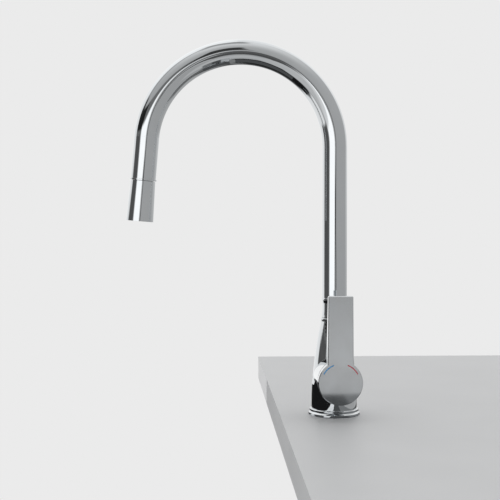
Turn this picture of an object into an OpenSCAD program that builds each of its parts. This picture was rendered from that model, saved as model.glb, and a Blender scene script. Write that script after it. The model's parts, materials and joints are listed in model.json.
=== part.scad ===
// Single-lever kitchen mixer with a gooseneck swivel spout and a pull-out spray head.
// Millimetres. The origin is the centre of the base on the deck, +Z is up,
// the spout points to -X and the lever faces -Y.

/* [Base and deck] */
// Outer radius of the base ring's lower lip
base_r = 25.7; // [24:0.1:28]
// Height of the base ring
base_h = 6.5; // [5:0.5:9]
// Thickness of the deck that the tap is stored clamped to
deck_t = 30; // [15:1:35]
// Radius of the threaded shank (M34, for a 35 mm hole)
shank_r = 17; // [16.6:0.1:17.2]
// Wall of the shank
shank_wall = 1.5; // [1.2:0.1:1.8]
// How far the shank reaches below the deck
shank_drop = 56; // [52:1:80]
// Thickness of the rubber gasket under the deck
gasket_t = 3; // [2:0.5:5]
// Thickness of the steel washer under the deck
washer_t = 2; // [1.5:0.5:3]
// Outer radius of the gasket and of the washer
washer_r = 24; // [22:0.5:28]
// Height of the mounting nut
nut_h = 8; // [6:1:10]
// Width of the mounting nut across its flats
nut_flats = 46; // [44:1:52]

/* [Body] */
// Radius of the body on the base ring
body_r = 22.7; // [22:0.1:23.4]
// Radius of the body at the swivel seam
neck_r = 13.3; // [12.8:0.1:13.8]
// Height of the swivel seam above the deck
seam_z = 94; // [88:1:110]
// Height at which the body's sides begin to lean in
shoulder_z = 50; // [40:1:60]
// Radius of the nose that the spout turns on
nose_r = 9.7; // [9.4:0.1:10]
// Radius of the bore that the hose runs through
hose_way_r = 6.5; // [6.3:0.1:6.8]
// Depth of the shank's thread in the body
shank_thread = 7; // [6:0.5:7]

/* [Cartridge boss] */
// Height of the lever's axis above the deck
lever_z = 39.3; // [38:0.1:42]
// Distance of the boss's front edge from the tap's axis
boss_reach = 41; // [40:0.5:50]
// Wall of the boss round the cartridge
boss_wall = 3.6; // [3.2:0.1:4.5]
// Depth of the cartridge's seat behind the boss's edge
seat_depth = 32; // [31.5:0.1:32.2]
// Depth of the lever's pivot behind the boss's edge
pivot_depth = 14; // [13.8:0.1:14.2]
// Radius of the cartridge
cartridge_r = 17.4; // [17.2:0.1:17.6]

/* [Lever] */
// Thickness of the lever's face in front of its hollow
lever_wall = 2.7; // [2.4:0.1:4]
// Radius of the lever's disc
disc_r = 21.6; // [21:0.1:23]
// Height of the paddle's top above the lever's axis
paddle_top = 83.7; // [70:1:100]
// Width of the paddle at its top
paddle_w = 23.9; // [20:0.1:28]
// How much wider the paddle is at the lever's axis
paddle_taper = 1.3; // [0:0.1:3]
// Length that the paddle's top corners are cut back
paddle_corner = 1; // [0.9:0.1:3]
// Thickness of the paddle at its top
paddle_tip_t = 6; // [4:0.5:8]
// Thickness of the paddle at the disc
paddle_root_t = 13.6; // [10:0.2:13.8]
// Depth of the disc's side
cap_depth = 8.5; // [7:0.5:9]
// Chamfer round the lever's face
face_chamfer = 0.7; // [0.3:0.1:1]
// Greatest lift of the lever in degrees
lift_max = 22; // [15:1:22]
// Side of the square stem
stem_w = 6; // [5.5:0.1:6.2]
// Radius of the lever's hub
hub_r = 5.9; // [5.5:0.1:6]

/* [Temperature marks] */
// Distance of the marks' centre line from the disc's edge
mark_inset = 3.1; // [2:0.1:5]
// Width of a mark
mark_w = 1; // [0.6:0.1:1.4]
// Depth of a mark
mark_depth = 0.3; // [0.2:0.05:0.5]
// Angle above the horizontal at which a mark starts
mark_from = 28; // [20:1:35]
// Angle above the horizontal at which a mark ends
mark_to = 69; // [50:1:80]

/* [Spout] */
// Outer radius of the spout tube
tube_r = 12.5; // [12.3:0.1:12.7]
// Wall of the spout tube
tube_wall = 1.5; // [1.2:0.1:1.6]
// Height of the collar above the swivel seam
collar_h = 22; // [21:0.5:30]
// Radius of the collar's two rims
rim_r = 13.9; // [13.6:0.1:14.6]
// Radius of the collar's waist
waist_r = 12.2; // [12:0.1:12.6]
// Height at which the tube starts to bend
bend_z = 268.4; // [200:1:330]
// Centre-line radius of the bend
bend_r = 94; // [70:1:120]
// Sweep of the bend in degrees
bend_sweep = 175; // [160:1:180]
// Straight length after the bend
straight = 40.5; // [38:0.5:60]

/* [Spray head] */
// Length of the spray head below the dock ring
head_len = 42; // [38:1:70]
// Radius of the spray head at the dock ring
head_top_r = 12.3; // [12:0.1:12.6]
// Radius of the spray head at its outlet
head_end_r = 13.5; // [13:0.1:15]
// Wall of the spray head's sleeve
head_wall = 1.3; // [1:0.1:1.6]
// Height of the dock ring
dock_ring_h = 1.6; // [1:0.1:2.5]
// Radius of the dock ring
dock_ring_r = 13.35; // [13:0.05:14]
// Radius of the spray head's shank in the dock
dock_shank_r = 8.8; // [8.7:0.1:9.2]
// How far the spray head's shank reaches into the spout
dock_depth = 14; // [12:0.5:16]

/* [Hose] */
// Outer radius of the pull-out hose
hose_r = 6; // [5.6:0.1:6]
// Wall of the pull-out hose
hose_wall = 2; // [1.6:0.1:2.2]
// Radius of the supply and outlet threads
port_r = 4; // [3.8:0.1:4]
// Thickness of the inlet block, through which the threads run
port_depth = 6; // [5:0.5:7]
// Radius of the drilled waterways
way_r = 2.4; // [2:0.1:2.4]

/* [Fits] */
// Radial clearance of a part that turns or slides on another
running = 0.06; // [0.03:0.01:0.1]
// Clearance between parts that are fixed to each other
static_fit = 0.05; // [0.02:0.01:0.08]
// Gap between parts that pass each other
free_gap = 0.5; // [0.3:0.05:0.6]

/* [Hidden] */
$fn = 96;
eps = 0.01;

chrome = "#d9dcde";
satin = "#a4a7a9";
brass = "#c2a35c";
steel = "#b4b8bc";
rubber = "#2b2b2d";
white_pom = "#e8e6df";
grey_pom = "#8c8f91";
black_pom = "#3a3b3d";
ceramic = "#f2eee4";

// Base and deck
ring_bore_r = shank_r + 0.2;
seal_cord_r = 1.2;
seal_groove_r = base_r - 3.7;
deck_hole_gap = 0.3;
clamp_top = -deck_t - gasket_t - washer_t;
jack_r = 1.5;
jack_ring_r = 20;
jack_head_r = 2.6;
jack_head_h = 2;
jack_spare = 3;
nut_gap = 1.5;

// Body
foot_h = 4;
thread_top = base_h + shank_thread;
inlet_gasket_t = 1;
socket_top = thread_top + port_depth + inlet_gasket_t + static_fit;
shank_bore_r = shank_r - shank_wall;
port_x = 8.6;
port_y = 7.4;
mixed_x = 10.2;
mixed_y = 5;
way_x = 8.6;
way_y = 6.2;
way_rise = 4.5;
mixed_way_z = 5;
groove_deep = 1;
nose_h = 17;
nose_groove_z = 8.8;
nose_groove_h = 2.6;
nose_groove_deep = 1;

// Cartridge, measured forward from the tap's axis
boss_r = cartridge_r + boss_wall;
seat_y = boss_reach - seat_depth;
pivot_y = boss_reach - pivot_depth;
base_plate_t = 2.5;
dowel_x = 12;
dowel_y = 6;
dowel_r = 1.6;
dowel_len = 2;
disc_port_r = 1.9;
mixed_port_w = 5;
seal_r = 3.3;
seal_bore_r = 2;
seal_t = 1;
disc_t = 2.6;
carrier_t = 4.3;
fixed_disc_y = seat_y + base_plate_t;
moving_disc_y = fixed_disc_y + disc_t;
carrier_y = moving_disc_y + disc_t;
carrier_front = carrier_y + carrier_t;
tip_r = 2;
tip_y = carrier_front - 1.6;
ceramic_r = cartridge_r - 4;
moving_r = ceramic_r - 2.6;
chamber_r = 6.4;
chamber_h = 1.4;
key_x = 5.2;
key_y = -6.6;
key_r = 1;
key_len = 1.1;
pin_r = 1.5;
housing_wall = 2;
housing_shoulder = boss_reach - 10;
housing_front = housing_shoulder + 3.5;
turret_back = carrier_front + free_gap;
turret_flange_front = pivot_y + pin_r + 0.1;
turret_front = housing_front - 0.3;
turret_r = cartridge_r - housing_wall - 1.6;
turret_neck_r = 9.6;
carrier_flat = 7.6;
pin_len = 2 * turret_neck_r - 1.6;
bonnet_front = boss_reach - free_gap;
bonnet_hole_r = cartridge_r - 4.2;
bonnet_r = cartridge_r + 1.5;
spanner_slot = 4;
spanner_deep = 2;

// Dome and lever cap, spheres about the pivot, with the dome's rim on the boss's edge
dome_rim = pivot_depth + static_fit;
dome_r = sqrt(boss_r * boss_r + dome_rim * dome_rim);
dome_wall = 1.2;
dome_foot = 1.5;
dome_foot_r = cartridge_r + 0.2;
dome_open = 38;
cap_inner_r = dome_r + free_gap;
face_y = pivot_y + cap_inner_r + lever_wall;
face_skin = 1.5;
hub_back = boss_reach - 0.5;
socket_front = face_y - 4;
stem_back = pivot_y - 3.2;
stem_tip_r = 1.5;
grub_y = face_y - 5.5;
grub_r = 2;
grub_key_r = 1;
plug_len = 4;
plug_inset = 0.5;
mark_r = disc_r - mark_inset;
mark_gap = 0.02;

// Collar and spout
tube_bore_r = tube_r - tube_wall;
bush_gap = 0.1;
bush_flange_t = 1.1;
bush_len = 5.2;
upper_bush_z = nose_groove_z + nose_groove_h + 0.6;
upper_bush_len = 4.4;
bush_r = tube_bore_r - static_fit - running;
bush_bore_r = nose_r + running;
collar_z = seam_z + bush_flange_t + 3 * bush_gap;
collar_top = collar_z + collar_h;
tube_seat = 2.2;
tube_z = collar_top - tube_seat;
spigot_h = 14;
spigot_wall = 2;
keeper_z = seam_z + nose_groove_z + nose_groove_h / 2;
keeper_r = 1;
end_lap = 1;
end_step = 0.02;
lean = 180 - bend_sweep;
dock_x = -bend_r - bend_r * cos(lean) - straight * sin(lean);
dock_z = bend_z + bend_r * sin(lean) - straight * cos(lean);

// Spray head, measured along the outlet from the end of the spout tube
head_top = dock_ring_h + 0.3;
head_end = head_len;
guide_bore_r = dock_shank_r + 0.3;
guide_len = 20;
guide_lead = 1.2;
thread_r = 7.4;
nut_end = -6.5;
nut_wide_r = 8.4;
nut_top_r = 6;
nut_skirt = 1.7;
nut_cone_h = 1.6;
core_shelf = -4.4;
nipple_flange_r = 5.4;
nipple_flange_t = 2.4;
nipple_bore_r = 2.8;
nipple_face = nut_end - 2.1;
neck_nipple_r = 4.2;
hose_end = -20.5;
ferrule_len = 16;
ferrule_wall = 1.2;
core_end = head_end - 12;
core_wide_r = 10.6;
core_bore_r = 3.2;
outlet_way_r = 8.6;
valve_z = core_shelf + 4;
valve_r = 5.2;
valve_len = 10;
valve_bore_r = 3;
aerator_z = core_end + 0.8;
aerator_r = 11.6;
aerator_wall = 1.2;
aerator_lip = 1.4;
aerator_in = 0.4;
hole_pitch = 2.6;
hole_r = 0.8;
field_r = 8.2;

function bezier(a, b, c, n) =
  [for (i = [0:n]) let (t = i / n) (1 - t) * (1 - t) * a + 2 * t * (1 - t) * b + t * t * c];

// Local +Z runs forward out of the boss, local +Y is up
module at_cartridge(y = 0) {
  translate([0, -y, lever_z]) rotate([90, 0, 0]) children();
}

// Local +Z runs down the outlet from the end of the spout tube
module at_dock(s = 0) {
  translate([dock_x, 0, dock_z]) rotate([0, 180 + lean, 0]) translate([0, 0, s]) children();
}

module ring(outer, inner, h) {
  difference() {
    cylinder(r = outer, h = h);
    translate([0, 0, -1]) cylinder(r = inner, h = h + 2);
  }
}

// Turned ring with two lips and a groove for the seal
module base_ring() {
  color(chrome) difference() {
    rotate_extrude() polygon([[ring_bore_r, 0], [base_r - 0.5, 0], [base_r, 0.6],
      [base_r, 2.4], [base_r - 1.1, 3.3], [base_r - 1.6, 3.9], [base_r - 1.1, 4.7],
      [base_r - 1.1, base_h - 0.6], [base_r - 1.7, base_h], [ring_bore_r, base_h]]);
    translate([0, 0, -1])
      ring(seal_groove_r + seal_cord_r + 0.3, seal_groove_r - seal_cord_r - 0.3, 2 * seal_cord_r + 1);
  }
}

module base_seal() {
  color(rubber) rotate_extrude() translate([seal_groove_r, seal_cord_r]) circle(r = seal_cord_r, $fn = 32);
}

// Solid of revolution of the body's outside, from the base ring to the swivel seam
module body_cone() {
  side = bezier([body_r, base_h + foot_h], [body_r, shoulder_z], [neck_r, seam_z], 24);
  rotate_extrude() polygon(concat([[0, base_h], [body_r, base_h]], side, [[0, seam_z]]));
}

module body_nose() {
  translate([0, 0, seam_z - eps]) difference() {
    cylinder(r = nose_r, h = nose_h + eps);
    translate([0, 0, nose_groove_z]) ring(nose_r + 1, nose_r - nose_groove_deep, nose_groove_h);
  }
}

// Drilled ways from the ceiling of the shank's socket to the seat of the cartridge
module supply_way(side) {
  top = lever_z - way_rise;
  translate([side * way_x, -way_y, socket_top - 1]) cylinder(r = way_r, h = top - socket_top + 1);
  translate([side * way_x, -way_y, top]) sphere(r = way_r);
  translate([side * way_x, -way_y, top]) rotate([90, 0, 0]) cylinder(r = way_r, h = seat_y);
}

module mixed_way() {
  top = lever_z + mixed_way_z;
  translate([mixed_x, mixed_y, socket_top - 1]) cylinder(r = way_r, h = top - socket_top + 1);
  translate([mixed_x, mixed_y, top]) sphere(r = way_r);
  translate([mixed_x, mixed_y, top]) rotate([90, 0, 0])
    cylinder(r = way_r, h = seat_y + mixed_y);
  at_cartridge(seat_y - groove_deep) translate([0, mixed_way_z - way_r, 0])
    cube([mixed_x, 2 * way_r, groove_deep + 1]);
}

// Two dowels, or the holes for them
module dowels(r, depth) {
  for (side = [-1, 1]) translate([side * dowel_x, dowel_y, -depth]) cylinder(r = r, h = depth + 1);
}

module tap_body() {
  color(chrome) difference() {
    union() {
      body_cone();
      body_nose();
      at_cartridge() cylinder(r = boss_r, h = boss_reach);
    }
    translate([0, 0, -1]) cylinder(r = hose_way_r, h = seam_z + nose_h + 2);
    translate([0, 0, base_h - 1]) cylinder(r = shank_r + static_fit, h = socket_top - base_h + 1);
    at_cartridge(seat_y) cylinder(r = cartridge_r + 0.1, h = boss_reach);
    at_cartridge(housing_shoulder) cylinder(r = bonnet_r + static_fit, h = boss_reach);
    at_cartridge(seat_y) dowels(dowel_r + 0.1, dowel_len + 0.2);
    supply_way(-1);
    supply_way(1);
    mixed_way();
  }
}

// Brass disc with the threads of the three hoses, held up in the body by the shank
module inlet_block() {
  color(brass) translate([0, 0, thread_top]) difference() {
    ring(shank_r, hose_way_r, port_depth);
    for (p = [[-port_x, -port_y], [port_x, -port_y], [mixed_x, mixed_y]])
      translate([p[0], p[1], -1]) cylinder(r = port_r, h = port_depth + 2);
  }
}

// Flat gasket between the block and the body, with a hole for each way
module inlet_gasket() {
  color(rubber) translate([0, 0, thread_top + port_depth]) difference() {
    ring(shank_r - 0.3, hose_way_r + 0.5, inlet_gasket_t);
    for (p = [[-way_x, -way_y], [way_x, -way_y], [mixed_x, mixed_y]])
      translate([p[0], p[1], -1]) cylinder(r = way_r + 0.1, h = inlet_gasket_t + 2);
  }
}

module mounting_shank() {
  color(brass) translate([0, 0, -shank_drop])
    ring(shank_r, shank_bore_r, shank_drop + thread_top - static_fit);
}

module deck_gasket() {
  color(rubber) translate([0, 0, -deck_t - gasket_t])
    ring(washer_r, shank_r + deck_hole_gap, gasket_t);
}

module deck_washer() {
  color(steel) translate([0, 0, clamp_top]) ring(washer_r, shank_r + deck_hole_gap, washer_t);
}

module mounting_nut() {
  color(brass) translate([0, 0, clamp_top - nut_gap - nut_h]) difference() {
    cylinder(d = nut_flats / cos(30), h = nut_h, $fn = 6);
    translate([0, 0, -1]) cylinder(r = shank_r + static_fit, h = nut_h + 2);
    for (a = [30:120:270]) rotate(a) translate([jack_ring_r, 0, -1])
      cylinder(r = jack_r + static_fit, h = nut_h + 2);
  }
}

// Three screws that press the washer against the deck
module jack_screws() {
  bottom = clamp_top - nut_h - jack_spare;
  color(steel) for (a = [30:120:270]) rotate(a) translate([jack_ring_r, 0, bottom]) difference() {
    union() {
      cylinder(r = jack_r, h = nut_h + jack_spare);
      translate([0, 0, -jack_head_h]) cylinder(r = jack_head_r, h = jack_head_h);
    }
    translate([0, 0, -jack_head_h - 0.1]) cylinder(r = 1.2, h = 1.4, $fn = 6);
  }
}

// Ports of the cartridge: cold, hot and mixed water
module port_shapes(h) {
  for (side = [-1, 1]) translate([side * way_x, -way_rise, 0]) cylinder(r = disc_port_r, h = h);
  translate([-mixed_port_w / 2, mixed_way_z - disc_port_r, 0])
    cube([mixed_port_w, 2 * disc_port_r, h]);
}

// Places its children at the three ports of the cartridge
module at_ports() {
  for (p = [[-way_x, -way_rise], [way_x, -way_rise], [0, mixed_way_z]])
    translate([p[0], p[1], 0]) children();
}

module cartridge_base() {
  color(white_pom) at_cartridge(seat_y + static_fit) difference() {
    union() {
      cylinder(r = cartridge_r - 0.1, h = base_plate_t - 2 * static_fit);
      dowels(dowel_r, dowel_len);
    }
    translate([0, 0, -1]) port_shapes(base_plate_t + 2);
    at_ports() translate([0, 0, -1]) cylinder(r = seal_r + 0.1, h = seal_t + 1.1);
  }
}

module cartridge_seals() {
  color(rubber) at_cartridge(seat_y + static_fit) at_ports() ring(seal_r, seal_bore_r, seal_t);
}

module fixed_disc() {
  color(ceramic) at_cartridge(fixed_disc_y) difference() {
    cylinder(r = ceramic_r, h = disc_t - eps);
    translate([0, 0, -1]) port_shapes(disc_t + 2);
  }
}

module cartridge_housing() {
  inner = cartridge_r - housing_wall;
  color(white_pom) at_cartridge() difference() {
    union() {
      translate([0, 0, fixed_disc_y])
        cylinder(r = cartridge_r, h = housing_shoulder - fixed_disc_y);
      translate([0, 0, housing_shoulder - eps])
        cylinder(r = bonnet_hole_r - 0.3, h = housing_front - housing_shoulder + eps);
    }
    translate([0, 0, fixed_disc_y - 1])
      cylinder(r = ceramic_r + static_fit, h = disc_t + 1);
    translate([0, 0, moving_disc_y])
      cylinder(r = inner, h = turret_flange_front - moving_disc_y + 0.2);
    cylinder(r = turret_neck_r + running, h = housing_front + 1);
  }
}

// Ring nut with four slots for its spanner
module bonnet_nut() {
  h = bonnet_front - housing_shoulder - 1;
  color(brass) at_cartridge(housing_shoulder + static_fit) difference() {
    cylinder(r = bonnet_r, h = h);
    translate([0, 0, -1]) cylinder(r = bonnet_hole_r, h = h + 2);
    for (a = [45:90:315]) rotate(a) translate([bonnet_hole_r - 1, -spanner_slot / 2, h - spanner_deep])
      cube([spanner_slot, spanner_slot, spanner_deep + 1]);
  }
}

// Zone of a sphere about the pivot, with a rim that seats on the boss
module bonnet_dome() {
  color(chrome) at_cartridge(pivot_y) difference() {
    intersection() {
      sphere(r = dome_r, $fn = 128);
      translate([0, 0, dome_rim]) cylinder(r = dome_r, h = dome_r * cos(dome_open) - dome_rim);
    }
    intersection() {
      sphere(r = dome_r - dome_wall, $fn = 128);
      translate([0, 0, dome_rim + dome_foot]) cylinder(r = dome_r, h = dome_r);
    }
    translate([0, 0, dome_rim - 1]) cylinder(r = dome_foot_r, h = dome_foot + 1.1);
    cylinder(r = dome_r * sin(dome_open) - 0.8, h = dome_r);
  }
}

// Flanged bearing that carries the collar on the seam
module swivel_bush_lower() {
  color(black_pom) translate([0, 0, seam_z + bush_gap]) {
    ring(neck_r - 0.6, bush_bore_r, bush_flange_t);
    translate([0, 0, bush_flange_t - eps]) ring(bush_r, bush_bore_r, bush_len);
  }
}

module swivel_bush_upper() {
  color(black_pom) translate([0, 0, seam_z + upper_bush_z]) ring(bush_r, bush_bore_r, upper_bush_len);
}

// Upper disc, with the chamber that joins the ports on its underside
module moving_disc() {
  color(ceramic) at_cartridge(moving_disc_y + eps) difference() {
    cylinder(r = moving_r, h = disc_t - 2 * eps);
    translate([0, 1, -1]) intersection() {
      cylinder(r = chamber_r, h = chamber_h + 1);
      translate([-chamber_r - 1, -3.5, 0]) cube([2 * chamber_r + 2, 10.5, chamber_h + 1]);
    }
    at_keys() translate([0, 0, disc_t - key_len - 0.3]) cylinder(r = key_r + 0.1, h = key_len + 1);
  }
}

// The two keys between the moving disc and its carrier
module at_keys() {
  for (side = [-1, 1]) translate([side * key_x, key_y, 0]) children();
}

// Slides on the fixed disc between the turret's two cheeks
module disc_carrier() {
  slot = tip_r + 0.08;
  color(white_pom) at_cartridge(carrier_y) difference() {
    union() {
      intersection() {
        cylinder(r = moving_r - 0.6, h = carrier_t);
        translate([-carrier_flat, -12, 0]) cube([2 * carrier_flat, 24, carrier_t]);
      }
      at_keys() translate([0, 0, -key_len]) cylinder(r = key_r, h = key_len + 0.1);
    }
    translate([-slot - 0.3, -slot, 0.5]) cube([2 * slot + 0.6, 2 * slot, carrier_t]);
  }
}

// Room for the stem from the closed to the fully lifted lever, about the pivot
module stem_sweep() {
  w = stem_w + 0.5;
  rotate([90, 0, 90]) translate([0, 0, -w / 2]) linear_extrude(w) union() {
    square([w, 40], center = true);
    rotate(lift_max) square([w, 40], center = true);
  }
}

module turret() {
  cheek_z = carrier_y + 0.4;
  slot = carrier_flat + 0.3;
  color(white_pom) at_cartridge() difference() {
    union() {
      translate([0, 0, cheek_z]) cylinder(r = turret_r, h = turret_flange_front - cheek_z);
      translate([0, 0, turret_flange_front - eps])
        cylinder(r = turret_neck_r, h = turret_front - turret_flange_front + eps);
    }
    translate([-slot, -20, cheek_z - 1]) cube([2 * slot, 40, turret_back - cheek_z + 1]);
    translate([0, 0, pivot_y]) stem_sweep();
    translate([-20, 0, pivot_y]) rotate([0, 90, 0]) cylinder(r = pin_r + 0.02, h = 40);
  }
}

module pivot_pin() {
  color(steel) at_cartridge(pivot_y) rotate([0, 90, 0])
    cylinder(r = pin_r, h = pin_len, center = true);
}

module lever_stem() {
  front = socket_front - 0.2;
  color(steel) at_cartridge() difference() {
    union() {
      translate([-stem_w / 2, -stem_w / 2, stem_back]) cube([stem_w, stem_w, front - stem_back]);
      translate([0, 0, tip_y]) cylinder(r = stem_tip_r, h = stem_back - tip_y + 1);
      translate([0, 0, tip_y]) sphere(r = tip_r, $fn = 48);
    }
    translate([-10, 0, pivot_y]) rotate([0, 90, 0]) cylinder(r = pin_r + running, h = 20);
  }
}

// Keyhole outline: the disc's side and the wedge of the paddle, with the face's chamfer
module lever_blank() {
  lean_in = atan(paddle_taper / 2 / paddle_top);
  root_w = paddle_w + paddle_taper;
  edge_side = face_chamfer * sqrt(2);
  translate([0, 0, face_y - cap_depth]) cylinder(r = disc_r, h = cap_depth - face_chamfer);
  translate([0, 0, face_y - face_chamfer])
    cylinder(r1 = disc_r, r2 = disc_r - face_chamfer, h = face_chamfer);
  difference() {
    translate([0, 0, face_y - paddle_root_t]) linear_extrude(paddle_root_t)
      polygon([[-root_w / 2, 0], [root_w / 2, 0], [paddle_w / 2, paddle_top], [-paddle_w / 2, paddle_top]]);
    translate([0, paddle_top, face_y]) rotate([45, 0, 0])
      cube([2 * paddle_w, edge_side, edge_side], center = true);
    for (side = [-1, 1]) translate([side * paddle_w / 2, paddle_top, face_y]) {
      rotate(side * lean_in) rotate([0, 45, 0]) cube([edge_side, 3 * paddle_top, edge_side], center = true);
      rotate(45) cube([paddle_corner * sqrt(2), paddle_corner * sqrt(2), 3 * paddle_root_t], center = true);
    }
    translate([-paddle_w, 0, 0]) rotate([90, 0, 90]) linear_extrude(2 * paddle_w)
      polygon(paddle_back());
  }
}

// Side view of what is cut away behind the paddle: height above the axis, distance forward
function paddle_back() = let (w = paddle_w / 2 + paddle_taper / 2, root = sqrt(disc_r * disc_r - w * w))
  [[-1, face_y - cap_depth], [root - 1.5, face_y - cap_depth], [root + 2, face_y - paddle_root_t],
   [paddle_top + 1, face_y - paddle_tip_t], [paddle_top + 1, face_y - 30], [-1, face_y - 30]];

module mark_arc(side, w, d) {
  from = side > 0 ? mark_from : 180 - mark_to;
  translate([0, 0, face_y - d]) rotate(from) rotate_extrude(angle = mark_to - mark_from)
    translate([mark_r - w / 2, 0]) square([w, d]);
}

module lever_handle() {
  half = stem_w / 2 + static_fit;
  color(satin) at_cartridge() difference() {
    union() {
      difference() {
        lever_blank();
        translate([0, 0, pivot_y]) sphere(r = cap_inner_r, $fn = 128);
      }
      translate([0, 0, hub_back]) cylinder(r = hub_r, h = face_y - face_skin - hub_back);
    }
    translate([-half, -half, hub_back - 1])
      cube([2 * half, 2 * half, socket_front - hub_back + 1]);
    translate([0, 0, grub_y]) rotate([90, 0, 0])
      cylinder(r = grub_r + static_fit, h = disc_r + 2);
    mark_arc(-1, mark_w, mark_depth + 1);
    mark_arc(1, mark_w, mark_depth + 1);
  }
}

module lever_screw() {
  from = stem_w / 2 + static_fit;
  color(steel) at_cartridge(grub_y) rotate([90, 0, 0]) difference() {
    translate([0, 0, from]) cylinder(r = grub_r, h = hub_r - from - 0.1);
    translate([0, 0, hub_r - 1.6]) cylinder(r = grub_key_r, h = 3, $fn = 6);
  }
}

module screw_plug() {
  color(satin) at_cartridge(grub_y) rotate([90, 0, 0])
    translate([0, 0, disc_r - plug_inset - plug_len]) cylinder(r = grub_r, h = plug_len);
}

module cold_mark() {
  color("#3f7fb5") at_cartridge() mark_arc(-1, mark_w - 2 * mark_gap, mark_depth);
}

module hot_mark() {
  color("#c03a46") at_cartridge() mark_arc(1, mark_w - 2 * mark_gap, mark_depth);
}

// Waisted collar: a rim on the swivel seam, a slim waist and a sharp rim under the tube
module swivel_collar() {
  groove_r = rim_r - 0.8;
  upper_rim_r = tube_r + 0.45;
  spigot_r = tube_bore_r - static_fit;
  flare = bezier([groove_r, collar_z + 2.6], [waist_r, collar_z + 6.6], [waist_r, collar_z + 11], 10);
  outside = concat([[tube_bore_r, collar_z], [rim_r - 0.4, collar_z], [rim_r, collar_z + 0.4],
    [rim_r, collar_z + 1.4], [rim_r - 0.3, collar_z + 1.7], [groove_r - 0.2, collar_z + 2]], flare,
    [[waist_r, collar_top - 5.2], [upper_rim_r, collar_top - 2.1], [upper_rim_r, collar_top - 0.8],
    [tube_r + 0.15, collar_top], [tube_r + static_fit, collar_top],
    [tube_r + static_fit, tube_z - static_fit], [spigot_r, tube_z - static_fit],
    [spigot_r, tube_z + spigot_h], [tube_bore_r - spigot_wall, tube_z + spigot_h],
    [tube_bore_r - spigot_wall, tube_z - 3], [tube_bore_r, tube_z - 4]]);
  color(chrome) difference() {
    rotate_extrude() polygon(outside);
    translate([0, 0, keeper_z]) rotate([0, 90, 0]) cylinder(r = keeper_r + static_fit, h = 2 * rim_r);
  }
}

// Grub screw at the back, its tip in the nose's groove
module collar_screw() {
  tip = nose_r - nose_groove_deep + 0.3;
  color(steel) translate([tip, 0, keeper_z]) rotate([0, 90, 0]) difference() {
    cylinder(r = keeper_r, h = waist_r - tip - 0.3);
    translate([0, 0, waist_r - tip - 1.5]) cylinder(r = keeper_r / 2, h = 2, $fn = 6);
  }
}

// Solid bar along the spout's centre line: riser, bend and straight end,
// the end drawn out by a hair and lapped over the bend
module spout_path(r, z_from, end) {
  translate([0, 0, z_from]) cylinder(r = r, h = bend_z - z_from);
  translate([-bend_r, 0, bend_z]) rotate([90, 0, 0]) rotate_extrude(angle = bend_sweep)
    translate([bend_r, 0]) circle(r = r);
  at_dock(-straight - end_lap) cylinder(r = r + end_step, h = straight + end_lap + end);
}

module spout_pipe(outer, inner, z_from, end) {
  difference() {
    spout_path(outer, z_from, end);
    spout_path(inner, z_from - 1, end + 1);
  }
}

module spout_tube() {
  color(chrome) spout_pipe(tube_r, tube_bore_r, tube_z, 0);
}

module dock_ring() {
  color(chrome) at_dock(static_fit) difference() {
    cylinder(r = dock_ring_r, h = dock_ring_h - static_fit);
    translate([0, 0, -1]) cylinder(r = tube_bore_r + static_fit, h = dock_ring_h + 2);
  }
}

// Plastic sleeve in the spout's end, with a lead-in at its mouth
module dock_guide() {
  h = guide_len + dock_ring_h - 0.2;
  color(black_pom) at_dock(-guide_len) difference() {
    cylinder(r = tube_bore_r - static_fit, h = h);
    translate([0, 0, -1]) cylinder(r = guide_bore_r, h = h + 2);
    translate([0, 0, h - guide_lead])
      cylinder(r1 = guide_bore_r, r2 = guide_bore_r + guide_lead, h = guide_lead + 0.1);
  }
}

module pull_out_hose() {
  color("#6f7376") spout_pipe(hose_r, hose_r - hose_wall, -shank_drop + 2, hose_end);
}

// Tail in the hose, neck through the ferrule and a flange that the swivel nut holds
module hose_nipple() {
  color(brass) at_dock() difference() {
    union() {
      translate([0, 0, hose_end - ferrule_len])
        cylinder(r = hose_r - hose_wall - static_fit, h = ferrule_len + static_fit + eps);
      translate([0, 0, hose_end + static_fit])
        cylinder(r = neck_nipple_r, h = nipple_face - hose_end - static_fit);
      translate([0, 0, nipple_face - nipple_flange_t])
        cylinder(r = nipple_flange_r, h = nipple_flange_t);
    }
    translate([0, 0, hose_end - ferrule_len - 1])
      cylinder(r = nipple_bore_r, h = nipple_face - hose_end + ferrule_len + 2);
  }
}

module hose_ferrule() {
  color(steel) at_dock(hose_end - ferrule_len) difference() {
    cylinder(r = hose_r + ferrule_wall, h = ferrule_len + ferrule_wall);
    translate([0, 0, -1]) cylinder(r = hose_r + static_fit, h = ferrule_len + 1 + static_fit);
    cylinder(r = neck_nipple_r + static_fit, h = ferrule_len + ferrule_wall + 1);
  }
}

// Swivel nut that joins the hose to the spray head
module hose_nut() {
  top = hose_end + nut_skirt;
  wide = top + nut_cone_h - eps;
  color(brass) at_dock() difference() {
    union() {
      translate([0, 0, top]) cylinder(r1 = nut_top_r, r2 = nut_wide_r, h = nut_cone_h);
      translate([0, 0, wide]) cylinder(r = nut_wide_r, h = -dock_depth - static_fit - wide);
      translate([0, 0, -dock_depth - 1]) cylinder(r = thread_r, h = dock_depth + 1 + nut_end);
    }
    translate([0, 0, top - 1]) cylinder(r = neck_nipple_r + running, h = nut_end - top + 2);
    translate([0, 0, nipple_face - nipple_flange_t - static_fit])
      cylinder(r = nipple_flange_r + running, h = 20);
  }
}

module hose_seal() {
  h = core_shelf - nipple_face - 0.1 - static_fit;
  color(rubber) at_dock(nipple_face + 0.1) ring(nipple_flange_r - 0.1, nipple_bore_r + 0.2, h);
}

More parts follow.
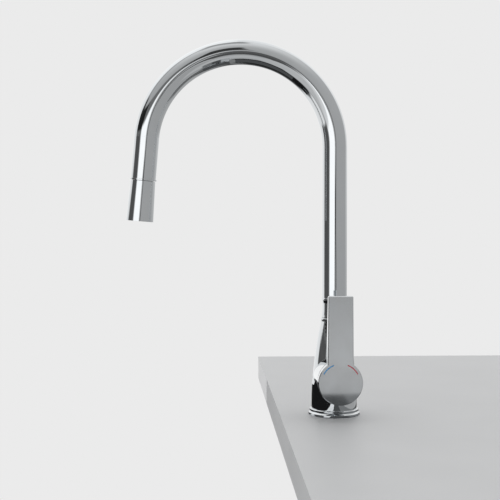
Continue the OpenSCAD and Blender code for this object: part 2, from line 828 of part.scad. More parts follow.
// Shank that docks in the spout, and the waterway down to the outlet
module spray_core() {
  wide = head_top + head_wall + static_fit;
  color(black_pom) at_dock() difference() {
    union() {
      translate([0, 0, -dock_depth]) cylinder(r = dock_shank_r, h = dock_depth + head_top + 2);
      translate([0, 0, wide]) cylinder(r = core_wide_r, h = core_end - wide);
    }
    translate([0, 0, -dock_depth - 1])
      cylinder(r = thread_r + static_fit, h = dock_depth + 1 + core_shelf);
    translate([0, 0, -dock_depth]) cylinder(r = core_bore_r, h = dock_depth + head_len);
    translate([0, 0, valve_z]) cylinder(r = valve_r + static_fit, h = head_len);
    translate([0, 0, valve_z + valve_len + 0.2]) cylinder(r = outlet_way_r, h = head_len);
  }
}

// Non-return valve cartridge with its guide cage
module check_valve() {
  seat = 2.2;
  color(white_pom) at_dock(valve_z + static_fit) difference() {
    cylinder(r = valve_r, h = valve_len);
    translate([0, 0, -1]) cylinder(r = valve_bore_r, h = seat + 1);
    translate([0, 0, seat - eps]) cylinder(r1 = valve_bore_r, r2 = valve_bore_r + 1, h = 1.4);
    for (a = [0:60:300]) rotate(a) translate([valve_bore_r - 0.2, 0, seat + 1.3])
      cylinder(r = 0.9, h = valve_len);
  }
}

// Conical sleeve, closed towards the spout
module spray_shell() {
  hollow = head_top + head_wall;
  color(chrome) at_dock() difference() {
    translate([0, 0, head_top]) cylinder(r1 = head_top_r, r2 = head_end_r, h = head_end - head_top);
    translate([0, 0, hollow]) cylinder(r1 = core_wide_r + static_fit,
      r2 = head_end_r - head_wall, h = head_end - hollow + eps);
    translate([0, 0, head_top - 1]) cylinder(r = dock_shank_r + static_fit, h = head_wall + 2);
  }
}

// Threaded ring that holds the insert, its inner lip at the outlet
module aerator_ring() {
  h = head_end - aerator_z - aerator_in;
  color(chrome) at_dock(aerator_z) difference() {
    cylinder(r = aerator_r, h = h);
    translate([0, 0, -1]) cylinder(r = aerator_r - aerator_wall, h = h + 1.2 - aerator_lip);
    cylinder(r = aerator_r - aerator_wall - 0.8, h = h + 1);
  }
}

// Outlet insert with its hexagonal field of holes
module aerator_insert() {
  h = head_end - aerator_z - aerator_in - aerator_lip + 0.1;
  color(grey_pom) at_dock(aerator_z) difference() {
    cylinder(r = aerator_r - aerator_wall - static_fit, h = h);
    translate([0, 0, -1]) cylinder(r = aerator_r - aerator_wall - 1.4, h = h - 0.9);
    for (i = [-3:3], j = [-3:3])
      let (x = (i + j / 2) * hole_pitch, y = j * hole_pitch * sqrt(3) / 2)
        if (norm([x, y]) < field_r) translate([x, y, -1]) cylinder(r = hole_r, h = h + 2, $fn = 24);
  }
}

module aerator_seal() {
  color(rubber) at_dock(core_end + static_fit)
    ring(aerator_r - 1, field_r, aerator_z - core_end - 2 * static_fit);
}

base_ring();
base_seal();
tap_body();
inlet_block();
inlet_gasket();
mounting_shank();
deck_gasket();
deck_washer();
mounting_nut();
jack_screws();
cartridge_base();
cartridge_seals();
fixed_disc();
cartridge_housing();
bonnet_nut();
bonnet_dome();
swivel_bush_lower();
swivel_bush_upper();
moving_disc();
disc_carrier();
turret();
pivot_pin();
lever_stem();
lever_handle();
lever_screw();
screw_plug();
cold_mark();
hot_mark();
swivel_collar();
collar_screw();
spout_tube();
dock_ring();
dock_guide();
pull_out_hose();
hose_nipple();
hose_ferrule();
hose_nut();
hose_seal();
spray_core();
check_valve();
spray_shell();
aerator_ring();
aerator_insert();
aerator_seal();
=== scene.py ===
"""Looks of a single-lever kitchen mixer tap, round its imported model: chrome, enamel, brass, steel, rubber,
plastic, ceramic and a braided hose."""
import json
import math

import bmesh
import bpy
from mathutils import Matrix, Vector


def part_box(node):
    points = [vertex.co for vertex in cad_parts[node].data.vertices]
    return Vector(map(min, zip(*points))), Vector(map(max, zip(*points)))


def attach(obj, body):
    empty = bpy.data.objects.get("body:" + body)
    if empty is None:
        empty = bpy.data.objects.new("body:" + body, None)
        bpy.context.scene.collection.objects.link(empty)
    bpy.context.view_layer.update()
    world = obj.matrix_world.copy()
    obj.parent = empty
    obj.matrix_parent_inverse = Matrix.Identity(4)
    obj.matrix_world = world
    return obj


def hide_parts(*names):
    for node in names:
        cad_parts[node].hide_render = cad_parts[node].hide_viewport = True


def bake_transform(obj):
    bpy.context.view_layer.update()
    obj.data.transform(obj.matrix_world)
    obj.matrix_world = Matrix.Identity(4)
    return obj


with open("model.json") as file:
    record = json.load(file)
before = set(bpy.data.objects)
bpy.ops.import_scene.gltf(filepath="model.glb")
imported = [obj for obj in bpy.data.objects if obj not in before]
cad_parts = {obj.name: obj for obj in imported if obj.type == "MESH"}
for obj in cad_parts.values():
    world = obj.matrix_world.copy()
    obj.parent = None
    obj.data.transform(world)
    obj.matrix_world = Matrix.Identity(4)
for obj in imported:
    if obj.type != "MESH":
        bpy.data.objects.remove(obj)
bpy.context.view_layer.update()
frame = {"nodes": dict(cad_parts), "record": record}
nodes = frame["nodes"]
scene = bpy.context.scene
bpy.ops.object.select_all(action="DESELECT")

MM = 0.001
MERGED = 1e-6                       # points closer than this become one
FLAT = math.radians(0.5)            # faces that turn less than this become one

# The spout, as in part.scad: the height of its bend's centre, the bend's radius, and its straight, leaning end
LEAN = math.radians(5)
BEND_Z, BEND_R, STRAIGHT = 0.2684, 0.094, 0.0405
BEND_END = Vector((-BEND_R * (1 + math.cos(LEAN)), 0, BEND_Z + BEND_R * math.sin(LEAN)))
OUTLET_WAY = Vector((-math.sin(LEAN), 0, -math.cos(LEAN)))
DOCK = BEND_END + STRAIGHT * OUTLET_WAY

# Sockets that go by number: those of a Mix node, for numbers and for colours, and those of a Map Range node
SHARE, FIRST, SECOND = 0, 2, 3
FIRST_COLOUR, SECOND_COLOUR, MIXED_COLOUR = 6, 7, 2
VALUE, FROM_LOW, FROM_HIGH, TO_LOW, TO_HIGH = range(5)
NOISE = (0.3, 0.7)                  # most of a noise pattern lies between these


def add_node(tree, kind, inputs=None, **settings):
    """Adds a node with its settings; an input is a value or the socket that it is linked to."""
    node = tree.nodes.new(kind)
    for name, value in settings.items():
        setattr(node, name, value)
    for socket, value in (inputs or {}).items():
        if isinstance(value, bpy.types.NodeSocket):
            tree.links.new(value, node.inputs[socket])
        else:
            node.inputs[socket].default_value = value
    return node


def linear(code):
    """sRGB hex to a linear colour, opaque."""
    parts = [int(code[i:i + 2], 16) / 255 for i in (1, 3, 5)]
    return tuple(c / 12.92 if c <= 0.04045 else ((c + 0.055) / 1.055) ** 2.4 for c in parts) + (1.0,)


# Camera: an 80 mm lens 1.1 m in front of the tap, level with the spray's outlet
camera_data = bpy.data.cameras.new("photo_camera")
camera_data.lens = 80
camera_data.sensor_width = 36
camera_data.clip_start = 0.05
camera = bpy.data.objects.new("photo_camera", camera_data)
camera.location = (-0.1294, -1.1104, 0.2023)
camera.rotation_euler = (math.radians(88.1), 0, math.radians(-2.3))
scene.collection.objects.link(camera)
scene.camera = camera
scene.view_settings.view_transform = "Standard"


# Studio: the light and dark patches that the chrome mirrors, each laid over those before it. A patch is its
# turn from the front to the right and its rise above the horizon, both from and to in degrees, how softly it
# ends each way, also in degrees, and its brightness.
REFLECTED = [
    (118, 250, -90, 0, 6, 6, 0.52),         # behind, below the horizon: mid grey
    (118, 250, 0, 100, 6, 6, 0.9),          # behind, above the horizon: pale
    (124, 250, 20, 78, 6, 9, 1.12),         # its upper part, brighter
    (180, 253, -20, 100, 3, 6, 1.08),       # bright side, behind on the left
    (180, 250, 26, 80, 5, 9, 1.28),         # its upper part, brightest
    (-146, -66, -33, -10, 4, 3, 1.05),      # white strip, low on the left
    (-104, -100, -36, -8, 1.5, 4, 0.48),    # grey upright line across the strip
    (-97, -87, 15, 90, 3, 4, 0.42),         # and one above it, up to the zenith
    (-105, -47, 11, 25, 3, 2, 0.02),        # black band on the left, above the horizon
    (-98, -82, 20, 31, 3, 2.5, 0.04),       # its raised end
    (-48, 0, 11, 25, 3, 3, 0.2),            # its paler end, in front
    (-9, 2.8, 11, 34, 1, 3, 0.05),          # the black edge of that end
    (-114, -58, -11, 6, 3, 2, 0.11),        # dark patch on the left, at the horizon
    (-105, -58, 4, 11, 3, 2, 0.11),         # and its upper part
    (-58, -10, -60, -8, 4, 6, 0.66),        # grey ground, in front on the left
    (-52, -8, -16, -3, 3, 5, 0.9),          # pale strip at the ground's far edge
    (-52, -4, -6, 12.5, 2.5, 2, 1.5),       # bright panel: the white lines down the tubes
    (-7, 1, 6.5, 9.5, 1, 1, 1.05),          # its upper right corner
    (-35, 55, -63, -37, 4, 3, 0.62),        # grey ground in front, low
    (4, 16, -30, -5.5, 1, 2, 0.63),         # grey strip below the horizon, before the lever
    (-11, 13, -28, -9.8, 1, 1, 0.1),        # dark block in front, below the horizon
    (-4.5, 4.5, -9.5, 2, 1, 1.5, 0.12),     # dark block on top of it, narrower
    (4, 7.5, -1.5, 6, 1, 1.5, 0.03),        # black upright line, right of the bright panel
    (10.5, 13.5, -14, -2, 1, 1.5, 0.05),    # a second one, lower
    (-180, -62, -58, -35, 4, 2.5, 0.03),    # black field, low on the left
    (-186, -134, -50, -29, 3, 3, 0.05),     # its end, behind
    (98, 122, -62, -29, 4, 4, 0.2),         # dark upright block, low on the right
    (118, 146, -72, -46, 5, 4, 0.08),       # its shade
    (146, 168, -72, -36, 5, 4, 0.26),       # dark grey patch, low behind
    (166, 186, -48, -20, 4, 4, 0.08),       # the tap's own shade
    (54, 120, -74, -59, 5, 4, 0.2),         # dark grey patch, far down on the right
    (-400, 400, -110, -64, 5, 4, 0.27),     # the deck close to the tap, all round
    (-112, -48, -74, -54, 5, 4, 0.04),      # black patch, far down on the left
    (-20, 35, -72, -58, 5, 4, 0.55),        # paler patch, far down in front
    (-130, -58, 70, 100, 6, 5, 0.45),       # grey patch, high on the left
    (-60, 30, 74, 90, 8, 3, 0.5),           # grey bar by the zenith
    (-400, 400, 84, 110, 5, 3, 0.38),       # grey cap at the zenith
]
SOFT_LIGHT, BACKDROP = "#f2f2f2", "#ebebeb"


def studio():
    """The world: an even soft light, a plain pale backdrop for the camera, and the patches that chrome shows."""
    world = bpy.data.worlds.new("studio")
    scene.world = world
    world.use_nodes = True
    tree = world.node_tree
    tree.nodes.clear()
    ray = add_node(tree, "ShaderNodeTexCoord").outputs["Generated"]
    axis = add_node(tree, "ShaderNodeSeparateXYZ", {0: ray})
    to_front = add_node(tree, "ShaderNodeMath", {0: axis.outputs[1], 1: -1.0}, operation="MULTIPLY").outputs[0]
    turn = add_node(tree, "ShaderNodeMath", {0: axis.outputs[0], 1: to_front}, operation="ARCTAN2").outputs[0]
    rise = add_node(tree, "ShaderNodeMath", {0: axis.outputs[2]}, operation="ARCSINE").outputs[0]
    pair = add_node(tree, "ShaderNodeCombineXYZ", {0: turn, 1: rise}).outputs[0]
    degrees = add_node(tree, "ShaderNodeVectorMath", {0: pair, "Scale": 180 / math.pi},
                       operation="SCALE").outputs[0]
    height = add_node(tree, "ShaderNodeSeparateXYZ", {0: degrees}).outputs[1]

    # Where no patch lies: mid grey, a little paler upwards and paler again towards the zenith
    surround = add_node(tree, "ShaderNodeMapRange", {VALUE: height, FROM_LOW: -10.0, FROM_HIGH: 35.0,
                                                     TO_LOW: 0.475, TO_HIGH: 0.55}).outputs[0]
    ceiling = add_node(tree, "ShaderNodeMapRange", {VALUE: height, FROM_LOW: 30.0, FROM_HIGH: 90.0,
                                                    TO_LOW: 0.0, TO_HIGH: 0.5},
                       interpolation_type="SMOOTHSTEP").outputs[0]
    level = add_node(tree, "ShaderNodeMath", {0: surround, 1: ceiling}, operation="ADD").outputs[0]

    # A patch covers half at its edge, all at its softness inside the edge and nothing as far outside it
    for left, right, low, high, soft_turn, soft_rise, brightness in REFLECTED:
        centre = ((left + right) / 2, (low + high) / 2, 0)
        slope = (-0.5 / soft_turn, -0.5 / soft_rise, 0)
        reach = (0.5 + 0.25 * (right - left) / soft_turn, 0.5 + 0.25 * (high - low) / soft_rise, 1)
        away = add_node(tree, "ShaderNodeVectorMath", {0: degrees, 1: centre}, operation="SUBTRACT").outputs[0]
        within_half_turn = {0: away, 1: (180, 180, 180), 2: (-180, -180, -180)}
        nearest = add_node(tree, "ShaderNodeVectorMath", within_half_turn, operation="WRAP").outputs[0]
        apart = add_node(tree, "ShaderNodeVectorMath", {0: nearest}, operation="ABSOLUTE").outputs[0]
        inside = add_node(tree, "ShaderNodeVectorMath", {0: apart, 1: slope, 2: reach},
                          operation="MULTIPLY_ADD").outputs[0]
        sides = add_node(tree, "ShaderNodeSeparateXYZ", {0: inside})
        least = add_node(tree, "ShaderNodeMath", {0: sides.outputs[0], 1: sides.outputs[1]},
                         operation="MINIMUM").outputs[0]
        cover = add_node(tree, "ShaderNodeMapRange", {VALUE: least},
                         interpolation_type="SMOOTHSTEP").outputs[0]
        level = add_node(tree, "ShaderNodeMix", {SHARE: cover, FIRST: level, SECOND: brightness}).outputs[0]
    reflected = add_node(tree, "ShaderNodeCombineColor", {0: level, 1: level, 2: level}).outputs[0]

    rays = add_node(tree, "ShaderNodeLightPath")
    mirrored = {0: rays.outputs["Is Glossy Ray"], 1: rays.outputs["Is Transmission Ray"]}
    shiny = add_node(tree, "ShaderNodeMath", mirrored, operation="MAXIMUM").outputs[0]
    light = {SHARE: shiny, FIRST_COLOUR: linear(SOFT_LIGHT), SECOND_COLOUR: reflected}
    unseen = add_node(tree, "ShaderNodeMix", light, data_type="RGBA").outputs[MIXED_COLOUR]
    choice = {SHARE: rays.outputs["Is Camera Ray"], FIRST_COLOUR: unseen, SECOND_COLOUR: linear(BACKDROP)}
    shown = add_node(tree, "ShaderNodeMix", choice, data_type="RGBA").outputs[MIXED_COLOUR]
    background = add_node(tree, "ShaderNodeBackground", {"Color": shown, "Strength": 1.0}).outputs[0]
    add_node(tree, "ShaderNodeOutputWorld", {0: background})


studio()


# Materials
def start_material(name, metallic, roughness):
    """A material, its shader, and the place of each point on the object, by which patterns are drawn."""
    material = bpy.data.materials.new(name)
    material.use_nodes = True
    tree = material.node_tree
    tree.nodes.clear()
    shader = add_node(tree, "ShaderNodeBsdfPrincipled", {"Metallic": metallic, "Roughness": roughness})
    add_node(tree, "ShaderNodeOutputMaterial", {0: shader.outputs[0]})
    return material, tree, shader, add_node(tree, "ShaderNodeTexCoord").outputs["Object"]


def finish_surface(tree, shader, colour, wear, relief, normal=None):
    """Gives the shader its colour, roughness and relief. colour: a share, and the two colours that it mixes.
    wear: a pattern, a low and a high level of it, and the roughness at each. relief: a height pattern, its
    depth in metres, and its strength."""
    mixed = add_node(tree, "ShaderNodeMix", dict(zip((SHARE, FIRST_COLOUR, SECOND_COLOUR), colour)),
                     data_type="RGBA").outputs[MIXED_COLOUR]
    rough = add_node(tree, "ShaderNodeMapRange", dict(enumerate(wear))).outputs[0]
    bump = add_node(tree, "ShaderNodeBump", dict(zip(("Height", "Distance", "Strength"), relief)))
    if normal is not None:
        tree.links.new(normal, bump.inputs["Normal"])
    tree.links.new(mixed, shader.inputs["Base Color"])
    tree.links.new(rough, shader.inputs["Roughness"])
    tree.links.new(bump.outputs[0], shader.inputs["Normal"])


def chrome_plate(name, haze_low, haze_high):
    """Bright chrome over buffed metal: a cool grey mirror, with a faint haze that the cloth leaves in patches
    15 mm across, slow waves 33 mm long, and edges that the buffing wheel has rounded by 0.2 mm."""
    material, tree, shader, place = start_material(name, 1.0, haze_low)
    patches = {"Vector": place, "Scale": 1 / (15 * MM), "Detail": 3.0}
    haze = add_node(tree, "ShaderNodeTexNoise", patches).outputs[0]
    waves = {"Vector": place, "Scale": 1 / (33 * MM), "Detail": 1.0}
    wave = add_node(tree, "ShaderNodeTexNoise", waves).outputs[0]
    edge = add_node(tree, "ShaderNodeBevel", {"Radius": 0.2 * MM}, samples=4).outputs[0]
    finish_surface(tree, shader, (haze, linear("#cbcfd2"), linear("#d3d5d6")),
                   (haze, *NOISE, haze_low, haze_high), (wave, 0.02 * MM, 1.0), normal=edge)
    return material


def enamel(name, deep, pale):
    """Enamel wiped into an engraved arc and baked: an even gloss colour, paler where it is thin, in pools
    1.4 mm across."""
    material, tree, shader, place = start_material(name, 0.0, 0.25)
    pools = {"Vector": place, "Scale": 1 / (1.4 * MM), "Detail": 2.0}
    pool = add_node(tree, "ShaderNodeTexNoise", pools).outputs[0]
    finish_surface(tree, shader, (pool, linear(deep), linear(pale)),
                   (pool, *NOISE, 0.22, 0.34), (pool, 0.03 * MM, 1.0))
    return material


def turned_metal(name, bright, dull, roughness, ring_mm):
    """Metal left as the lathe cut it: fine rings round the upright axis, duller where fingers touched it, in
    marks 11 mm across. The rings are ring_mm apart, coarser than a real feed of 0.1 mm, so that they show."""
    material, tree, shader, place = start_material(name, 1.0, roughness[0])
    axis = add_node(tree, "ShaderNodeSeparateXYZ", {0: place})
    flat = add_node(tree, "ShaderNodeCombineXYZ", {0: axis.outputs[0], 1: axis.outputs[1]}).outputs[0]
    radius = add_node(tree, "ShaderNodeVectorMath", {0: flat}, operation="LENGTH").outputs["Value"]
    line = add_node(tree, "ShaderNodeCombineXYZ", {0: radius, 1: axis.outputs[2]}).outputs[0]
    cuts = {"Vector": line, "Scale": 1 / (ring_mm * MM), "Detail": 2.0}
    rings = add_node(tree, "ShaderNodeTexNoise", cuts).outputs[0]
    marks = {"Vector": place, "Scale": 1 / (11 * MM), "Detail": 4.0}
    touch = add_node(tree, "ShaderNodeTexNoise", marks).outputs[0]
    both = add_node(tree, "ShaderNodeMix", {SHARE: 0.35, FIRST: touch, SECOND: rings}).outputs[0]
    low, high = 0.35, 0.65
    share = add_node(tree, "ShaderNodeMapRange", {VALUE: both, FROM_LOW: low, FROM_HIGH: high}).outputs[0]
    finish_surface(tree, shader, (share, linear(bright), linear(dull)),
                   (both, low, high, *roughness), (rings, 0.03 * MM, 0.6))
    return material


def moulded(name, dark, light, roughness, grain_mm, relief_mm):
    """Moulded rubber or plastic: a matt skin with the mould's fine grain, and faint flow marks 8 mm across."""
    material, tree, shader, place = start_material(name, 0.0, roughness[0])
    streaks = {"Vector": place, "Scale": 1 / (8 * MM), "Detail": 3.0}
    flow = add_node(tree, "ShaderNodeTexNoise", streaks).outputs[0]
    grains = {"Vector": place, "Scale": 1 / (grain_mm * MM), "Detail": 2.0}
    grain = add_node(tree, "ShaderNodeTexNoise", grains).outputs[0]
    low, high = NOISE
    share = add_node(tree, "ShaderNodeMapRange", {VALUE: flow, FROM_LOW: low, FROM_HIGH: high}).outputs[0]
    finish_surface(tree, shader, (share, linear(dark), linear(light)),
                   (grain, low, high, *roughness), (grain, relief_mm * MM, 1.0))
    return material


def lapped_ceramic():
    """Alumina disc, fired and lapped flat: warm white, nearly glossy, in clouds 5 mm across, with the grain
    of the fired body in specks 0.4 mm apart."""
    material, tree, shader, place = start_material("lapped_alumina", 0.0, 0.12)
    specks = {"Vector": place, "Scale": 1 / (0.4 * MM)}
    speck = add_node(tree, "ShaderNodeTexVoronoi", specks).outputs["Distance"]
    clouds = {"Vector": place, "Scale": 1 / (5 * MM), "Detail": 3.0}
    cloud = add_node(tree, "ShaderNodeTexNoise", clouds).outputs[0]
    finish_surface(tree, shader, (cloud, linear("#ece5d6"), linear("#f5f0e6")),
                   (speck, 0.0, 0.8, 0.1, 0.24), (speck, 0.005 * MM, 1.0))
    return material


def braid(name, axis_at, tilt):
    """Nylon braid over a soft tube: 12 flat strands each way, 9 mm up the hose from one to the next, every
    strand of one way passing over and under the other's. Two greys, dark in the gaps, with 0.4 mm threads."""
    strands, pitch = 12, 9 * MM
    material, tree, shader, place = start_material(name, 0.0, 0.5)
    own = add_node(tree, "ShaderNodeMapping", {0: place, 1: axis_at, 2: (0, tilt, 0)},
                   vector_type="TEXTURE").outputs[0]
    axis = add_node(tree, "ShaderNodeSeparateXYZ", {0: own})
    angle = add_node(tree, "ShaderNodeMath", {0: axis.outputs[1], 1: axis.outputs[0]},
                     operation="ARCTAN2").outputs[0]
    pair = add_node(tree, "ShaderNodeCombineXYZ", {0: angle, 1: axis.outputs[2]}).outputs[0]
    counts = (strands / (2 * math.pi), 1 / pitch, 0)
    grid = add_node(tree, "ShaderNodeVectorMath", {0: pair, 1: counts}, operation="MULTIPLY").outputs[0]
    parts = add_node(tree, "ShaderNodeSeparateXYZ", {0: grid})
    right = add_node(tree, "ShaderNodeMath", {0: parts.outputs[0], 1: parts.outputs[1]},
                     operation="ADD").outputs[0]
    left = add_node(tree, "ShaderNodeMath", {0: parts.outputs[0], 1: parts.outputs[1]},
                    operation="SUBTRACT").outputs[0]
    ways = add_node(tree, "ShaderNodeCombineXYZ", {0: right, 1: left}).outputs[0]

    steps = add_node(tree, "ShaderNodeVectorMath", {0: ways}, operation="FRACTION").outputs[0]
    middle = add_node(tree, "ShaderNodeVectorMath", {0: steps, 1: (0.5, 0.5, 0)},
                      operation="SUBTRACT").outputs[0]
    apart = add_node(tree, "ShaderNodeVectorMath", {0: middle}, operation="ABSOLUTE").outputs[0]
    round_over = add_node(tree, "ShaderNodeVectorMath", {0: apart, 1: (-2, -2, 0), 2: (1, 1, 0)},
                          operation="MULTIPLY_ADD").outputs[0]
    crown = add_node(tree, "ShaderNodeSeparateXYZ", {0: round_over})
    check = add_node(tree, "ShaderNodeTexChecker", {"Vector": ways, "Scale": 1.0}).outputs["Fac"]
    height = add_node(tree, "ShaderNodeMix", {SHARE: check, FIRST: crown.outputs[0],
                                              SECOND: crown.outputs[1]}).outputs[0]
    gap = add_node(tree, "ShaderNodeMapRange", {VALUE: height, FROM_LOW: 0.05, FROM_HIGH: 0.35}).outputs[0]
    greys = {SHARE: check, FIRST_COLOUR: linear("#6a6f73"), SECOND_COLOUR: linear("#8b9195")}
    strand = add_node(tree, "ShaderNodeMix", greys, data_type="RGBA").outputs[MIXED_COLOUR]
    threads = {"Vector": place, "Scale": 1 / (0.4 * MM), "Detail": 2.0}
    thread = add_node(tree, "ShaderNodeTexNoise", threads).outputs[0]
    finish_surface(tree, shader, (gap, linear("#26282a"), strand),
                   (thread, *NOISE, 0.4, 0.6), (height, 0.35 * MM, 1.0))
    return material


def ledge_finish():
    """The pale ledge that the tap stands on: an even satin surface, with a faint grain 1.1 mm across and
    barely seen clouds 80 mm across."""
    material, tree, shader, place = start_material("pale_ledge", 0.0, 0.5)
    grains = {"Vector": place, "Scale": 1 / (1.1 * MM), "Detail": 3.0}
    grain = add_node(tree, "ShaderNodeTexNoise", grains).outputs[0]
    clouds = {"Vector": place, "Scale": 1 / (80 * MM), "Detail": 2.0}
    cloud = add_node(tree, "ShaderNodeTexNoise", clouds).outputs[0]
    finish_surface(tree, shader, (cloud, linear("#c2c3c4"), linear("#c8c9ca")),
                   (grain, *NOISE, 0.42, 0.55), (grain, 0.02 * MM, 1.0))
    return material


finishes = {
    "chrome": chrome_plate("chrome_plate", 0.02, 0.05),                     # over brass: a clear mirror
    "chrome_satin": chrome_plate("chrome_plate_on_zinc", 0.07, 0.11),       # over cast zinc: a misted mirror
    "blue_enamel": enamel("blue_enamel", "#3f8cc8", "#5aa4d8"),
    "red_enamel": enamel("red_enamel", "#ba3242", "#cc4e5c"),
    "brass": turned_metal("turned_brass", "#d9bd74", "#b3934e", (0.18, 0.34), 0.5),
    "steel": turned_metal("stainless_steel", "#c6c7c8", "#a9abad", (0.16, 0.32), 0.35),
    "rubber": moulded("moulded_epdm_rubber", "#222223", "#2e2e30", (0.5, 0.68), 0.5, 0.02),
    "acetal_white": moulded("white_acetal", "#e4e1d8", "#ece9e1", (0.3, 0.42), 0.3, 0.006),
    "acetal_dark": moulded("black_acetal", "#28292b", "#333538", (0.32, 0.46), 0.3, 0.008),
    "ceramic": lapped_ceramic(),
    "braided_nylon": braid("braided_nylon", tuple(DOCK), math.pi + LEAN),   # along the outlet's own axis
}
for part in frame["record"]["subparts"]:
    thing = nodes[part["node"]]
    thing.data.materials.clear()
    thing.data.materials.append(finishes[part["material_slot"]])


# Hose: a braided tube through the shank, up the riser and round the bend, and its last straight stretch,
# ringed closely, because it pays out with the spray head
HOSE_R, HOSE_WALL = 6 * MM, 2 * MM
PAY_OUT = 17 * MM                   # the part of the straight stretch that gives when the head is pulled
LAP = 1.5 * MM                      # and what holds still at each of its ends


def hose_stretch(name, way, material):
    """A tube with a wall along the way's points."""
    line = bpy.data.curves.new(name, "CURVE")
    line.dimensions = "3D"
    line.bevel_depth = HOSE_R
    line.bevel_resolution = 8
    spline = line.splines.new("POLY")
    spline.points.add(len(way) - 1)
    for point, place in zip(spline.points, way):
        point.co = (*place, 1)
    tube = bpy.data.objects.new(name, line)
    scene.collection.objects.link(tube)
    bpy.context.view_layer.objects.active = tube
    tube.select_set(True)
    bpy.ops.object.convert(target="MESH")
    tube = bpy.context.object
    wall = tube.modifiers.new("wall", "SOLIDIFY")
    wall.thickness = HOSE_WALL
    wall.offset = -1
    bpy.ops.object.modifier_apply(modifier="wall")
    bpy.ops.object.shade_smooth_by_angle(angle=math.radians(40))
    tube.data.materials.clear()
    tube.data.materials.append(material)
    tube.select_set(False)
    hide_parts("pull_out_hose")
    return tube


def hose():
    """The run up to the dock, which turns with the spout, and the closely ringed straight end, left at rest."""
    start = BEND_END + OUTLET_WAY * LAP
    end = start + OUTLET_WAY * PAY_OUT
    riser = [Vector((0, 0, z * MM)) for z in range(-54, 268, 14)]
    bend, steps = [], 43
    for step in range(steps + 1):
        angle = (math.pi - LEAN) * step / steps
        bend.append(Vector((-BEND_R + BEND_R * math.cos(angle), 0, BEND_Z + BEND_R * math.sin(angle))))
    upright_braid = braid("braided_nylon_below", (0, 0, 0), 0.0)
    run = hose_stretch("braided_hose", riser + bend + [start], upright_braid)
    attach(run, "spout")
    rings = 130
    straight = [start + (end + OUTLET_WAY * LAP - start) * ring / rings for ring in range(rings + 1)]
    pay_out = hose_stretch("braided_hose_end", straight, finishes["braided_nylon"])
    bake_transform(pay_out)


hose()


def pick(mesh_object, kind, test):
    """Selects the vertices, edges or faces for which the test is true, and nothing else."""
    bpy.ops.object.mode_set(mode="EDIT")
    bpy.ops.mesh.select_mode(type=kind)
    work = bmesh.from_edit_mesh(mesh_object.data)
    everything = {"VERT": work.verts, "EDGE": work.edges, "FACE": work.faces}[kind]
    for element in everything:
        element.select_set(False)
    for element in everything:
        if test(element):
            element.select_set(True)
    work.select_flush_mode()
    bmesh.update_edit_mesh(mesh_object.data)


def copy_of(node, name):
    """A merged copy of a CAD node, with flat areas as single faces, ready to be worked on."""
    piece = bpy.data.objects.new(name, nodes[node].data.copy())
    scene.collection.objects.link(piece)
    bpy.ops.object.select_all(action="DESELECT")
    bpy.context.view_layer.objects.active = piece
    piece.select_set(True)
    bpy.ops.mesh.customdata_custom_splitnormals_clear()
    bpy.ops.object.mode_set(mode="EDIT")
    bpy.ops.mesh.select_all(action="SELECT")
    bpy.ops.mesh.remove_doubles(threshold=MERGED)
    bpy.ops.mesh.dissolve_limited(angle_limit=FLAT)
    bpy.ops.object.mode_set(mode="OBJECT")
    return piece


def close_piece(piece, body, slot, node):
    """Ends the work on a piece: even shading, the finish that the slot names, its body, and hiding the CAD node
    that it stands for.
    """
    bpy.ops.object.mode_set(mode="OBJECT")
    bpy.ops.object.shade_smooth_by_angle(angle=math.radians(32))
    even = piece.modifiers.new("even", "WEIGHTED_NORMAL")
    even.weight = 100
    even.keep_sharp = True
    bpy.ops.object.modifier_apply(modifier="even")
    piece.data.materials.clear()
    piece.data.materials.append(finishes[slot])
    piece.select_set(False)
    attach(piece, body)
    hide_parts(node)


# Lever: the cast paddle and disc, its corners and its face's edge rounded by the polishing wheel
def lever():
    """Refills the lever's flat face, then bevels its two upper corners and the face's outline."""
    low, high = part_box("lever_handle")
    disc_z = low.z + (high.x - low.x) / 2
    paddle = copy_of("lever_handle", "lever")

    def corner(edge):
        """An edge through the paddle's thickness, at one of its two upper corners."""
        a, b = (v.co for v in edge.verts)
        return (min(a.z, b.z) > high.z - 1.3 * MM and abs(a.x - b.x) < 0.05 * MM and abs(a.x) > 10 * MM
                and abs(a.y - b.y) > 1 * MM)

    def outline(edge):
        """A sharp edge close to the face, round the disc's rim or the paddle, but not round the marks."""
        if len(edge.link_faces) != 2 or edge.calc_face_angle() < math.radians(25):
            return False
        middle = (edge.verts[0].co + edge.verts[1].co) / 2
        reach = math.hypot(middle.x, middle.z - disc_z)
        return middle.y < low.y + 1.5 * MM and (reach > 20.4 * MM or middle.z > disc_z + 21 * MM)

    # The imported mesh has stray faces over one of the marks' grooves, so the flat face is filled anew
    pick(paddle, "FACE", lambda face: max(v.co.y for v in face.verts) < low.y + 0.01 * MM)
    bpy.ops.mesh.delete(type="FACE")
    pick(paddle, "EDGE", lambda edge: len(edge.link_faces) == 1)
    bpy.ops.mesh.fill()
    bpy.ops.mesh.select_all(action="SELECT")
    bpy.ops.mesh.normals_make_consistent(inside=False)
    bpy.ops.mesh.dissolve_limited(angle_limit=FLAT)
    pick(paddle, "EDGE", corner)
    bpy.ops.mesh.bevel(offset=0.45 * MM, segments=4, affect="EDGES")
    pick(paddle, "EDGE", outline)
    bpy.ops.mesh.bevel(offset=0.28 * MM, segments=3, affect="EDGES", clamp_overlap=True)
    close_piece(paddle, "lever", "chrome_satin", "lever_handle")


lever()


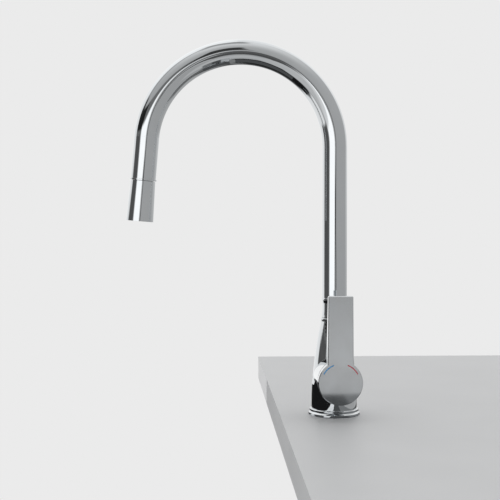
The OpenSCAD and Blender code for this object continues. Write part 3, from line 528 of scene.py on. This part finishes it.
# Marks: enamel arcs in the disc's engraved grooves, slightly crowned
def mark(node, side, slot):
    """Spins the arc's section, a strip with its front edge crowned, about the disc's centre. side is -1 on
    the left and 1 on the right."""
    low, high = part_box(node)
    disc_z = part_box("lever_handle")[0].z + 21.6 * MM
    middle, half = 18.5 * MM, 0.42 * MM             # the arc's radius and half its width
    start, sweep = math.radians(28), math.radians(41)
    bpy.ops.object.select_all(action="DESELECT")
    bpy.ops.mesh.primitive_plane_add(size=1, location=(side * middle, (low.y + high.y) / 2, disc_z))
    arc = bpy.context.object
    arc.name = "blue_arc" if side < 0 else "red_arc"
    arc.scale = (2 * half, high.y - low.y - 0.02 * MM, 1)
    bpy.ops.object.transform_apply(location=True, rotation=True, scale=True)
    front = low.y + 0.1 * MM
    pick(arc, "EDGE", lambda edge: max(v.co.y for v in edge.verts) < front)
    bpy.ops.mesh.subdivide(number_cuts=5)
    for vert in bmesh.from_edit_mesh(arc.data).verts:
        if vert.co.y < front:
            across = abs(abs(vert.co.x) - middle) / half
            vert.co.y += 0.12 * MM * across ** 3
    bmesh.update_edit_mesh(arc.data)
    bpy.ops.mesh.select_all(action="SELECT")
    bpy.ops.transform.rotate(value=side * start, orient_axis="Y", center_override=(0, 0, disc_z))
    bpy.ops.mesh.spin(steps=20, angle=side * sweep, center=(0, 0, disc_z), axis=(0, 1, 0))
    bpy.ops.mesh.select_all(action="SELECT")
    bpy.ops.mesh.remove_doubles(threshold=MERGED)
    bpy.ops.mesh.normals_make_consistent(inside=False)
    close_piece(arc, "lever", slot, node)


mark("cold_mark", -1, "blue_enamel")
mark("hot_mark", 1, "red_enamel")


# Stage: a pale ledge as thick as the deck that the model clamps. Reflections pass through it and meet the cards
# instead, which lie just under its face and beside it and which nothing else meets. All cards but the steel one
# glow at a fixed
# tone as painted reflections: painted shade on the ledge in front of and behind the tap, a painted grey ledge on
# its right, and a painted dark sink bowl on its left.
def slab(name, low, high, material):
    """A straight block between two corners, with its material."""
    bpy.ops.object.select_all(action="DESELECT")
    centre = [(a + b) / 2 for a, b in zip(low, high)]
    bpy.ops.mesh.primitive_cube_add(size=1, location=centre)
    block = bpy.context.object
    block.name = name
    block.scale = [b - a for a, b in zip(low, high)]
    bpy.ops.object.transform_apply(location=True, rotation=True, scale=True)
    block.data.materials.append(material)
    return block


def painted_reflection_glow(name, code):
    """A glowing card of even tone, whatever light falls on it: painted light, which only reflections meet."""
    material, _, shader, _ = start_material(name, 0.0, 1.0)
    shader.inputs["Base Color"].default_value = linear("#000000")
    shader.inputs["Specular IOR Level"].default_value = 0.0
    shader.inputs["Emission Color"].default_value = linear(code)
    shader.inputs["Emission Strength"].default_value = 1.0
    return material


deck = slab("deck", (-0.055, -0.45, -0.03), (0.35, 0.45, 0), ledge_finish())
deck.visible_glossy = False

steel, _, steel_shader, _ = start_material("steel_card", 1.0, 0.14)
steel_shader.inputs["Base Color"].default_value = linear("#c8cacc")
# Glowing tones, seen only in reflections: painted shade, a painted grey and a painted near-black
shade = painted_reflection_glow("painted_shade_card", "#565758")
grey = painted_reflection_glow("painted_grey_reflection_card", "#868788")
black = painted_reflection_glow("painted_dark_reflection_card", "#1c1c1d")
under, over = -0.003, -0.001        # the flat cards' lower and upper face
# The shade cards paint shade on the ledge in front of and behind the tap, and the bowl's dim floor
for name, low, high, material in (
        ("ledge_card", (-0.042, -0.241, under), (-0.012, 0, over), steel),
        ("ledge_front_card", (-0.012, -0.238, under), (0.024, 0, over), shade),
        ("ledge_right_card", (0.024, -0.241, under), (0.065, 0, over), grey),
        ("ledge_back_card", (-0.042, 0, under), (0.065, 0.3, over), shade),
        ("bowl_floor_card", (-0.46, -0.14, -0.204), (-0.042, 0.232, -0.2), shade),
        ("bowl_left_card", (-0.464, -0.14, -0.2), (-0.46, 0.232, -0.002), black),
        ("bowl_back_card", (-0.46, 0.232, -0.2), (-0.042, 0.236, -0.002), black),
        ("bowl_front_card", (-0.46, -0.144, -0.2), (-0.042, -0.14, -0.002), black)):
    card = slab(name, low, high, material)
    card.visible_camera = False
    card.visible_diffuse = False
    card.visible_shadow = False
